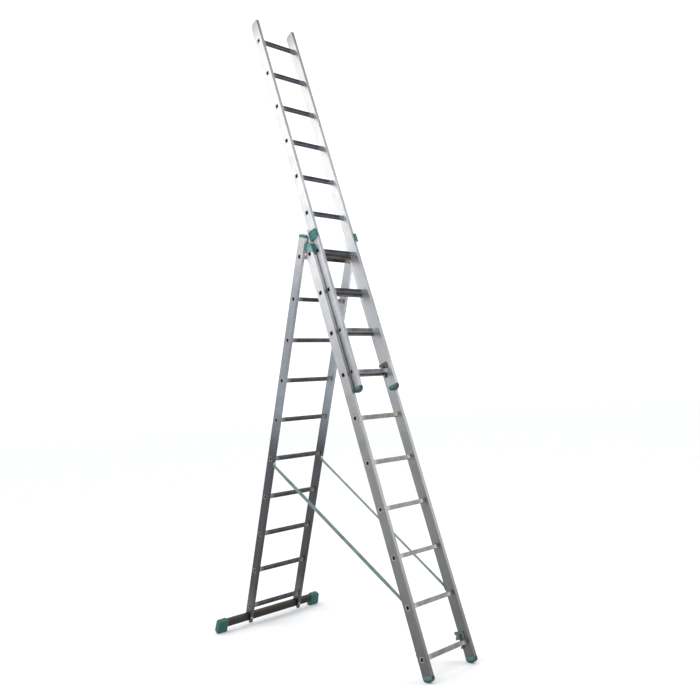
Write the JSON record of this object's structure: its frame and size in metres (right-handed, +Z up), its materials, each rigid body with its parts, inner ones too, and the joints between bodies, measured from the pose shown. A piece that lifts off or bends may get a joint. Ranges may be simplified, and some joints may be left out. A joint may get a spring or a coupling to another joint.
{
  "type": "extension ladder",
  "caption": "Aluminium combination ladder standing as an A-frame with its upper section run out above the hinge, straps between the legs and a stabiliser bar across the rear foot",
  "frame": {"origin": "on the floor at the centre of the footprint; the ladder's own centre plane is at X = +33 mm, because the stabiliser bar sits 33 mm off centre", "axes": "+Z up, +X along the rungs to the right of a climber facing the ladder, +Y from the climbing side towards the rear leg"},
  "size_m": [0.9, 1.7845, 4.3035],
  "materials": {
    "stile_aluminium": "mill-finish extrusion with fine die lines along the stile",
    "rung_aluminium": "mill-finish ribbed tube",
    "bar_aluminium": "dull mill-finish rectangular tube",
    "hook_steel": "zinc-plated pressed plate",
    "green_plastic": "moulded teal-green polypropylene",
    "shoe_plastic": "moulded dark teal polypropylene",
    "strap_webbing": "flat woven polyester webbing"
  },
  "bodies": {
    "base": {"base_stile_left": "stile_aluminium", "base_stile_right": "stile_aluminium", "base_rung_01": "rung_aluminium", "base_rung_02": "rung_aluminium", "base_rung_03": "rung_aluminium", "base_rung_04": "rung_aluminium", "base_rung_05": "rung_aluminium", "base_rung_06": "rung_aluminium", "base_rung_07": "rung_aluminium", "base_rung_08": "rung_aluminium", "base_rung_09": "rung_aluminium", "base_rung_10": "rung_aluminium", "base_foot_left": "green_plastic", "base_foot_right": "green_plastic", "fly_guide_left": "green_plastic", "fly_guide_right": "green_plastic", "hinge_guide_left": "green_plastic", "hinge_guide_right": "green_plastic", "base_hook_left": "hook_steel", "base_hook_right": "hook_steel"},
    "fly": {"fly_stile_left": "stile_aluminium", "fly_stile_right": "stile_aluminium", "fly_rung_01": "rung_aluminium", "fly_rung_02": "rung_aluminium", "fly_rung_03": "rung_aluminium", "fly_rung_04": "rung_aluminium", "fly_rung_05": "rung_aluminium", "fly_rung_06": "rung_aluminium", "fly_rung_07": "rung_aluminium", "fly_rung_08": "rung_aluminium", "fly_rung_09": "rung_aluminium", "fly_rung_10": "rung_aluminium", "fly_plug_left": "green_plastic", "fly_plug_right": "green_plastic", "fly_hook_left": "hook_steel", "fly_hook_right": "hook_steel"},
    "rear_leg": {"rear_stile_left": "stile_aluminium", "rear_stile_right": "stile_aluminium", "rear_rung_01": "rung_aluminium", "rear_rung_02": "rung_aluminium", "rear_rung_03": "rung_aluminium", "rear_rung_04": "rung_aluminium", "rear_rung_05": "rung_aluminium", "rear_rung_06": "rung_aluminium", "rear_rung_07": "rung_aluminium", "rear_rung_08": "rung_aluminium", "rear_rung_09": "rung_aluminium", "rear_rung_10": "rung_aluminium", "rear_cap_left": "green_plastic", "rear_cap_right": "green_plastic", "stabiliser_bar": "bar_aluminium", "bar_shoe_left": "shoe_plastic", "bar_shoe_right": "shoe_plastic", "strap_left": "strap_webbing", "strap_right": "strap_webbing"},
    "base_latch_left": {"base_latch_left": "green_plastic"},
    "base_latch_right": {"base_latch_right": "green_plastic"},
    "fly_latch_left": {"fly_latch_left": "green_plastic"},
    "fly_latch_right": {"fly_latch_right": "green_plastic"}
  },
  "joints": [
    {"name": "rear_fold", "type": "hinge", "parent": "base", "child": "rear_leg", "pos_m": [0.033, -0.02587, 2.54894], "axis": [1, 0, 0], "range_deg": [-36.5, 0], "deforming": ["strap_left", "strap_right"]},
    {"name": "fly_slide", "type": "slide", "parent": "base", "child": "fly", "axis": [0, 0.299, 0.9542], "range_m": [-1.68, 0]},
    {"name": "base_latch_left_turn", "type": "hinge", "parent": "base", "child": "base_latch_left", "pos_m": [-0.1339, -0.80334, 0.10982], "axis": [1, 0, 0], "range_deg": [0, 18]},
    {"name": "fly_latch_left_turn", "type": "hinge", "parent": "fly", "child": "fly_latch_left", "pos_m": [-0.1054, -0.34867, 1.7279], "axis": [1, 0, 0], "range_deg": [0, 18]},
    {"name": "base_latch_right_turn", "type": "hinge", "parent": "base", "child": "base_latch_right", "pos_m": [0.1999, -0.80334, 0.10982], "axis": [1, 0, 0], "range_deg": [0, 18]},
    {"name": "fly_latch_right_turn", "type": "hinge", "parent": "fly", "child": "fly_latch_right", "pos_m": [0.1714, -0.34867, 1.7279], "axis": [1, 0, 0], "range_deg": [0, 18]}
  ]
}
